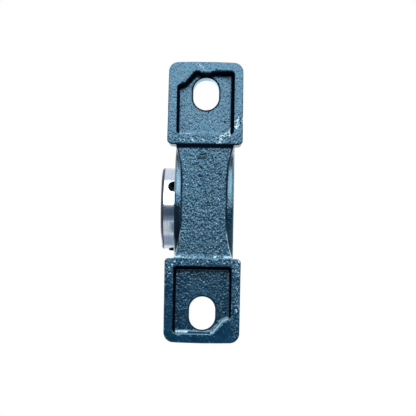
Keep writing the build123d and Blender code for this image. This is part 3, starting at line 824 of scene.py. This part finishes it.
def shade_share(points, normals, depth):
    """Where shade is painted: places that show little light are drawn dark.

    These are creases, the slots' edges, steep walls of the hollows and their feet, the walls at the lug,
    the web's edges, the boss's -X flanks and the step up to the +X foot.
    """
    x, y, z = points.T
    along, across = np.abs(x), np.abs(y)
    steep, away = steep_share(normals), fall(normals[:, 0], *AWAY)
    crease = smooth_ramp(depth, *CREASE_DEPTH) * away
    ring = fall(np.abs(slot_distance(points) - SLOT_RING_MIDDLE), *SLOT_RING)
    ring = ring * band(z - HOLLOW_FLOOR, *SLOT_RING_Z)
    wall = steep * away * band(z, *DARK_WALL_Z) * fall(across, *DARK_WALL_Y) * band(along, *DARK_WALL_X)
    toe = band(z, *TOE_Z) * band(along, *TOE_X) * (across < TOE_LIMIT_Y)
    toe = toe * np.maximum(
        smooth_ramp(y, *TOE_HIGH_Y) * by_foot(x, 1.0, smooth_ramp(y, *TOE_OUTER_Y)),
        smooth_ramp(-y, *TOE_LOW_Y))
    lug = smooth_ramp(normals[:, 0], *LUG_FACING) * (x < LUG_CORNER[0]) * (across < LUG_LIMIT_Y)
    lug = lug * np.where(past_lug(x, y), z < LUG_RIM_Z, within(z, *LUG_WALL_Z))
    web = np.maximum(steep, smooth_ramp(-depth, *EDGE_DEPTH)) * fall(along, *FOOT_X)
    web = web * np.where(x < LOW_EDGE_X, fall(z, *WEB_EDGE_Z), fall(z, *WEB_CORNER_Z))
    web = web * smooth_ramp(across, *WEB_EDGE_Y) * smooth_ramp(x, *DARK_EDGE_X)
    web = web * ((across < WEB_SIDE_Y) | (along > BOSS_END_X))
    flank = smooth_ramp(-x, *DARK_FLANK_X) * (x > DARK_FLANK_END_X) * fall(z, *DARK_FLANK_Z)
    flank = flank * smooth_ramp(across - WEB_HALF_WIDTH, *DARK_FLANK_OFF)
    step = fall(np.abs(x - STEP_MIDDLE_X), *STEP_X) * fall(z, *STEP_Z) * fall(across, *STEP_Y)
    return np.max(
        [DARK_CREASE * crease, ring, wall, toe, DARK_LUG * lug, DARK_EDGE * web, DARK_STEP * step,
         np.where(y < 0, *DARK_FLANKS) * flank], axis=0)


def merged_copy(node, name):
    """A copy of a CAD node's mesh whose loose triangles are joined at their corners."""
    mesh = bpy.data.meshes.new(name)
    merge_doubles(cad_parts[node].data, mesh, SOLID_WELD)
    return mesh


def applied(thing):
    """Replaces the object's mesh with the mesh that its modifiers make."""
    graph = bpy.context.evaluated_depsgraph_get()
    made = bpy.data.meshes.new_from_object(thing.evaluated_get(graph))
    thing.modifiers.clear()
    thing.data = made


class BEARING_OT_casting(bpy.types.Operator):
    """Sand-cast skin of the housing, with its enamel"""

    bl_idname = "bearing.casting"
    bl_label = "Casting"

    def execute(self, context):
        settings = context.scene.bearing_casting
        solid = add_object("casting solid", merged_copy("housing", "casting solid"))
        casting = add_object("cast_housing", merged_copy("housing", "cast_housing"))
        remesh = casting.modifiers.new("even mesh", "REMESH")
        remesh.mode = "VOXEL"
        remesh.voxel_size = settings.mesh_step
        wrap = casting.modifiers.new("back to the solid", "SHRINKWRAP")
        wrap.target = solid
        wrap.wrap_method = "NEAREST_SURFACEPOINT"
        applied(casting)
        points = mesh_points(casting.data)
        points += mesh_normals(casting.data) * sand_displacement(points, settings)[:, None]
        points = np.clip(points, CASTING_LOW, CASTING_HIGH)
        casting.data.vertices.foreach_set("co", points.ravel())
        casting.data.update()
        thin = casting.modifiers.new("thin", "DECIMATE")
        thin.ratio = min(1.0, settings.triangle_limit / (2 * len(casting.data.polygons)))
        applied(casting)
        bpy.data.objects.remove(solid)
        mesh = casting.data
        mesh.shade_smooth()
        points, normals, depth = mesh_points(mesh), mesh_normals(mesh), hollow_depth(mesh, rounds=3)
        under = smooth_ramp(-normals[:, 2], *UNDER_FACING) * fall(points[:, 2], *UNDER_Z)
        for name, values in (
                ("sand", sand_share(points)), ("machined", machined_share(points)),
                ("shade", shade_share(points, normals, depth)), ("painted_light", painted_light_share(points, normals)),
                ("under", under), ("ridge", smooth_ramp(-depth, *CREASE_DEPTH))):
            put_attribute(mesh, name, values)
        mesh.materials.clear()
        mesh.materials.append(enamel_material(
            context.scene.bearing_finish, sand_grain_group(), shared_group(wear_group), stroke_group()))
        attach(casting, "housing")
        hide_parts("housing")
        return {"FINISHED"}


class BEARING_OT_insert(bpy.types.Operator):
    """Finishes of the bearing insert's rings, balls, cage, seals and slingers"""

    bl_idname = "bearing.insert"
    bl_label = "Bearing insert"

    def execute(self, context):
        wear = shared_group(wear_group)
        steel = ground_steel_material(context.scene.bearing_finish, wear)
        ball = plain_material("polished ball steel", (0.75, 0.76, 0.78), 1.0, 0.06, wear, stains=0.05)
        cage = plain_material("pressed cage steel", (0.55, 0.55, 0.57), 1.0, 0.32, wear)
        sheet = plain_material(
            "turned sheet steel", (0.60, 0.62, 0.65), 1.0, 0.24, wear, (1.0, 30.0, 1.0), 90.0)
        rubber = plain_material("nitrile rubber", (0.02, 0.02, 0.022), 0.0, 0.55, wear)
        starts = {"inner_ring": steel, "outer_ring": steel, "ball_": ball, "grease_nipple_ball": ball,
                  "cage_": cage, "slinger_": sheet, "seal_": sheet}
        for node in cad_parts:
            for start, material in starts.items():
                if node.startswith(start):
                    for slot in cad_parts[node].material_slots:
                        slot.material = rubber if node.endswith("_lip") else material
        return {"FINISHED"}


# ---- The set screws and the grease nipple, in metres ----
WIRE_COLUMNS = 8               # points round the spring's wire
SOCKET_CHAMFER, DRILL_POINT = 0.0002, 0.0008
SHANK_RADIUS, SHANK_END_RADIUS, SHANK_GROOVE, SHANK_PITCH = 0.00295, 0.00245, 0.0005, 0.001
SEAT_BELOW_TOP = 0.012
SCREW_ROWS, SHANK_ROWS = 97, 45        # rows of points along the threads
WIRE_STEPS, END_RISE = 24, 0.1         # points along each turn, and how much of the rise the ends keep
# Pairs of radius and height: the hexagon's chamfer, outwards and along the axis, its neck up from the
# hexagon, the groove under the head and the tip from the top, and the duct from the bottom. The head
# between groove and tip is half a sine wave.
HEX_CHAMFER = (0.0006, 0.00035)
NIPPLE_NECK = ((0.0029, 0.0), (0.0023, 0.0012), (0.0021, 0.0024))
HEAD_GROOVE = (0.0022, -0.0046)
HEAD_RADIUS, HEAD_BULGE, HEAD_START, HEAD_LENGTH = 0.00235, 0.00090, -0.0044, 0.0020
NIPPLE_TIP = ((0.0023, -0.0022), (0.00165, -0.0002), (0.00150, 0.0), (0.00095, 0.0), (0.00085, -0.0001),
              (0.00085, -0.0005), (0.00145, -0.0005))
NIPPLE_DUCT = ((0.00145, 0.0005), (0.00085, 0.0005), (0.00085, 0.0))


def raised(profile, height):
    """The profile's pairs of radius and height, raised by a height."""
    return [(radius, height + step) for radius, step in profile]


class BEARING_OT_screws(bpy.types.Operator):
    """Threaded set screws with hexagon sockets and cup points"""

    bl_idname = "bearing.screws"
    bl_label = "Set screws"

    def execute(self, context):
        shape = context.scene.bearing_screws
        black = plain_material("black oxide", context.scene.bearing_finish.oxide, 0.0, 0.55,
                               shared_group(wear_group), specular=0.08)
        length, face = shape.length, shape.radius - shape.chamfer
        height = np.linspace(0.0, length, SCREW_ROWS)
        wall = threaded(height, shape.radius, shape.thread_depth, shape.pitch, COLUMNS)
        wall = np.minimum(wall, face + np.minimum(height, length - height)[:, None])
        socket = hexagon(shape.socket_flats, COLUMNS)
        floor = length - shape.socket_depth
        rows = [
            (0.0, shape.cup_radius), (shape.cup_radius, 0.0), *zip(wall, height),
            (socket + SOCKET_CHAMFER, length), (socket, length - SOCKET_CHAMFER), (socket, floor),
            (shape.socket_flats / 2, floor), (0.0, floor - DRILL_POINT)]
        for node in ("set_screw_1", "set_screw_2"):
            low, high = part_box(node)
            middle = (low + high) / 2
            outward = (middle - Vector((0, middle.y, AXIS_HEIGHT))).normalized()
            screw = turned_piece(
                "threaded_" + node, rows, middle - outward * length / 2, outward, False, black)
            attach(screw, node)
            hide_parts(node)
        return {"FINISHED"}


class BEARING_OT_nipple(bpy.types.Operator):
    """Grease nipple with a chamfered hexagon, a threaded shank and a coiled spring"""

    bl_idname = "bearing.nipple"
    bl_label = "Grease nipple"

    def execute(self, context):
        shape = context.scene.bearing_nipple
        wear = shared_group(wear_group)
        zinc = plain_material("zinc plate", context.scene.bearing_finish.zinc, 1.0, 0.28, wear)
        wire = plain_material("spring wire", (0.45, 0.45, 0.47), 1.0, 0.25, wear)
        bottom, top = NIPPLE_LOW.z, NIPPLE_HIGH.z
        seat = top - SEAT_BELOW_TOP
        hex_top = seat + shape.hex_height
        level = np.linspace(bottom, seat, SHANK_ROWS)
        shank = threaded(level, SHANK_RADIUS, SHANK_GROOVE, SHANK_PITCH, COLUMNS)
        shank = np.minimum(shank, SHANK_END_RADIUS + (level - bottom)[:, None])
        corners = hexagon(shape.hex_flats, COLUMNS)
        out, down = HEX_CHAMFER
        chamfered = [
            (np.minimum(corners, shape.hex_flats / 2 + step), height)
            for step, height in ((0.0, seat), (out, seat + down), (out, hex_top - down), (0.0, hex_top))]
        head = [(HEAD_RADIUS + HEAD_BULGE * sin(pi * share), HEAD_START + HEAD_LENGTH * share)
                for share in np.linspace(0.0, 1.0, 9)[1:-1]]
        rows = [*zip(shank, level), *chamfered, *raised(NIPPLE_NECK, hex_top),
                *raised([HEAD_GROOVE, *head, *NIPPLE_TIP], top), *raised(NIPPLE_DUCT, bottom)]
        body = turned_piece("threaded_nipple", rows, (0, 0, 0), (0, 0, 1), True, zinc)
        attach(body, "housing")
        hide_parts("grease_nipple_body")
        # The spring: a wire carried along a helix whose end turns lie flat and closed.
        half, length = shape.spring_wire / 2, SPRING_HIGH.z - SPRING_LOW.z
        share = np.linspace(0.0, 1.0, int(shape.spring_turns * WIRE_STEPS) + 1)
        rise = np.clip((share * shape.spring_turns - 1.0) / (shape.spring_turns - 2.0), 0.0, 1.0)
        angle = share * shape.spring_turns * tau
        out = np.stack([np.cos(angle), np.sin(angle), np.zeros_like(angle)], axis=1)
        line = out * (SPRING_HIGH.x - half)
        line[:, 2] = SPRING_LOW.z + half + (length - 2 * half) * (
            (1 - END_RISE) * rise + END_RISE * share)
        along = np.gradient(line, axis=0)
        along /= np.linalg.norm(along, axis=1)[:, None]
        side = np.cross(along, out)
        thick = np.where((share > 0) & (share < 1), half, 0.0)[:, None, None]
        last = len(share) - 1
        order = np.r_[0, 1, 1:last, last - 1, last]    # the end rings shrink to points
        line, out, side = (part[order, None, :] for part in (line, out, side))
        turn = (np.arange(WIRE_COLUMNS) / WIRE_COLUMNS * tau)[None, :, None]
        points = line + thick[order] * (np.cos(turn) * out + np.sin(turn) * side)
        faces = grid_faces(len(order), WIRE_COLUMNS, False)
        spring = new_piece("coiled_check_spring", points.reshape(-1, 3), faces, wire)
        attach(spring, "housing")
        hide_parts("grease_nipple_spring")
        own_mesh(spring)
        return {"FINISHED"}


# ---- Stage, in metres ----
FLOOR_HALF, FLOOR_Z, CARD_Z = 2.5, -0.0004, -0.60
# The opening in the floor: its half length, half width and middle, and how much further it reaches
# towards +X where Y is below a limit.
OPENING_X, OPENING_Y, OPENING_MIDDLE_Y = 0.097, 0.0295, -0.0035
OPENING_EXTRA_X, OPENING_LIMIT_Y = 0.12, -0.014
CARD_COLOURS = {
    "black card": (0.05, 0.08, 0.12), "dim card": (0.16, 0.22, 0.29), "grey card": (0.36, 0.42, 0.50)}
LEVEL_CARDS = (
    ("card under the -X foot", (-0.33, -0.65, 0.074, 0.65), "black card"),
    ("card past the -X foot", (-0.56, -0.65, -0.33, 0.65), "dim card"),
    ("card along -Y", (-3.0, -3.4, 3.0, -0.65), "black card"),
    ("card along +Y", (-3.0, 0.65, 3.0, 3.4), "black card"))
END_CARD = [(-1.8, -1.8, -0.25), (-1.8, 1.8, -0.25), (-1.8, 1.8, 1.9), (-1.8, -1.8, 1.9)]
# Name, place, target, width, height and the setting that holds the radiance.
LAMPS = (
    ("lamp below", (0.537, 0.0, CARD_Z), (0.537, 0.0, 0.0), 0.926, 1.30, "under_lamp"),
    ("lamp aside", (1.0, 0.0, -0.33), (0.0, 0.0, -0.33), 1.30, 0.54, "under_lamp"),
    ("key lamp", (-0.7, -1.0, 1.3), (0.0, 0.0, 0.05), 1.0, 1.0, "key_lamp"),
    ("fill lamp", (1.0, 0.8, 1.1), (0.0, 0.0, 0.05), 1.0, 1.0, "fill_lamp"))


def floor_material(colour):
    """Pale floor that only its upper side shows, with an opening under the base for the lamps below."""
    material, tree, shader = new_material(
        "pale floor", {"Base Color": opaque(colour), "Roughness": 0.9, "Specular IOR Level": 0.1})
    path = add_node(tree, "ShaderNodeLightPath")
    facing = add_node(tree, "ShaderNodeNewGeometry")
    split = add_node(tree, "ShaderNodeSeparateXYZ", {"Vector": object_place(tree)})
    x, y = split.outputs["X"], split.outputs["Y"]
    beside = math_node("LESS_THAN", y, OPENING_LIMIT_Y)
    reach = math_node("MULTIPLY_ADD", beside, OPENING_EXTRA_X, OPENING_X)
    across = math_node("ABSOLUTE", math_node("SUBTRACT", y, OPENING_MIDDLE_Y))
    shown = largest(
        path.outputs["Is Camera Ray"], math_node("GREATER_THAN", x, reach),
        math_node("LESS_THAN", x, -OPENING_X), math_node("GREATER_THAN", across, OPENING_Y))
    amount = product(math_node("SUBTRACT", 1.0, facing.outputs["Backfacing"]), shown)
    clear = add_node(tree, "ShaderNodeBsdfTransparent")
    mix = add_node(
        tree, "ShaderNodeMixShader", {"Fac": amount, 1: clear.outputs[0], 2: shader.outputs[0]})
    tree.links.new(mix.outputs[0], tree.nodes["Material Output"].inputs["Surface"])
    return material


def card_material(name, colour):
    """A card that only reflections see, of that even radiance."""
    material, tree, shader = new_material(name, {})
    glow = add_node(tree, "ShaderNodeEmission", {"Color": opaque(colour), "Strength": 1.0})
    tree.links.new(glow.outputs[0], tree.nodes["Material Output"].inputs["Surface"])
    tree.nodes.remove(shader)
    return material


def add_rectangle(name, corners, material):
    """A flat four-cornered face that isn't part of the object."""
    mesh = bpy.data.meshes.new(name)
    mesh.from_pydata(corners, [], [(0, 1, 2, 3)])
    mesh.materials.append(material)
    made = add_object(name, mesh)
    return made


def level_corners(low_x, low_y, high_x, high_y, height):
    """Corners of a level rectangle that faces up."""
    return [(low_x, low_y, height), (high_x, low_y, height), (high_x, high_y, height),
            (low_x, high_y, height)]


def add_soft_lamp(name, place, target, width, height, radiance):
    """A rectangular lamp at a place, facing the target, of that radiance in watts per square metre."""
    light = bpy.data.lights.new(name, "AREA")
    light.shape = "RECTANGLE"
    light.size, light.size_y = width, height
    light.energy = radiance * pi * width * height
    made = add_object(name, light)
    made.location = place
    made.rotation_euler = (Vector(target) - made.location).to_track_quat("-Z", "Y").to_euler()


class BEARING_OT_stage(bpy.types.Operator):
    """Camera, soft lamps, reflection cards, pale floor and white background"""

    bl_idname = "bearing.stage"
    bl_label = "Stage"

    def execute(self, context):
        settings = context.scene.bearing_stage
        floor = level_corners(-FLOOR_HALF, -FLOOR_HALF, FLOOR_HALF, FLOOR_HALF, FLOOR_Z)
        add_rectangle("floor", floor, floor_material(settings.floor_colour))
        cards = [(name, level_corners(*limits, CARD_Z), colour) for name, limits, colour in LEVEL_CARDS]
        colours = {name: card_material(name, colour) for name, colour in CARD_COLOURS.items()}
        for name, corners, colour in (*cards, ("card beyond -X", END_CARD, "grey card")):
            card = add_rectangle(name, corners, colours[colour])
            card.visible_camera = card.visible_diffuse = card.visible_shadow = False
        for name, place, target, width, height, setting in LAMPS:
            add_soft_lamp(name, place, target, width, height, getattr(settings, setting))
        world = bpy.data.worlds.new("white room")
        context.scene.world = world
        world.use_nodes = True
        tree = world.node_tree
        path = add_node(tree, "ShaderNodeLightPath")
        seen = largest(*(
            path.outputs[name] for name in ("Is Camera Ray", "Is Glossy Ray", "Is Transmission Ray")))
        strength = add_node(
            tree, "ShaderNodeMapRange", {"Value": seen, "To Min": settings.ambient, "To Max": 1.0})
        background = tree.nodes["Background"]
        background.inputs["Color"].default_value = (1, 1, 1, 1)
        tree.links.new(strength.outputs["Result"], background.inputs["Strength"])
        lens = bpy.data.cameras.new("camera")
        lens.lens = settings.focal_length
        camera = add_object("camera", lens)
        camera.location = settings.camera_place
        camera.rotation_euler = settings.camera_turn
        context.scene.camera = camera
        context.scene.view_settings.view_transform = "Standard"
        return {"FINISHED"}


class BEARING_PT_sidebar(bpy.types.Panel):
    """Lists the pieces and the settings in the 3D view's sidebar"""

    bl_idname = "BEARING_PT_sidebar"
    bl_label = "Pillow block bearing"
    bl_space_type = "VIEW_3D"
    bl_region_type = "UI"
    bl_category = "Bearing"

    def draw(self, context):
        for operator in OPERATORS:
            self.layout.operator(operator.bl_idname)
        for name in SETTINGS:
            group = getattr(context.scene, name)
            box = self.layout.box()
            for value in group.__annotations__:
                box.prop(group, value)


OPERATORS = (
    BEARING_OT_casting, BEARING_OT_insert, BEARING_OT_screws, BEARING_OT_nipple, BEARING_OT_stage)
SETTINGS = {
    "bearing_casting": CastingSettings, "bearing_screws": ScrewSettings, "bearing_nipple": NippleSettings,
    "bearing_finish": FinishSettings, "bearing_stage": StageSettings}


def register():
    for made in (*SETTINGS.values(), *OPERATORS, BEARING_PT_sidebar):
        bpy.utils.register_class(made)
    for name, group in SETTINGS.items():
        setattr(bpy.types.Scene, name, PointerProperty(type=group))


def unregister():
    for name in SETTINGS:
        delattr(bpy.types.Scene, name)
    for made in reversed((*SETTINGS.values(), *OPERATORS, BEARING_PT_sidebar)):
        bpy.utils.unregister_class(made)


def main():
    """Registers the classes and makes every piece."""
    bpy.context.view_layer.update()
    register()
    bpy.ops.bearing.casting()
    bpy.ops.bearing.insert()
    bpy.ops.bearing.screws()
    bpy.ops.bearing.nipple()
    bpy.ops.bearing.stage()


if __name__ == "__main__":
    main()
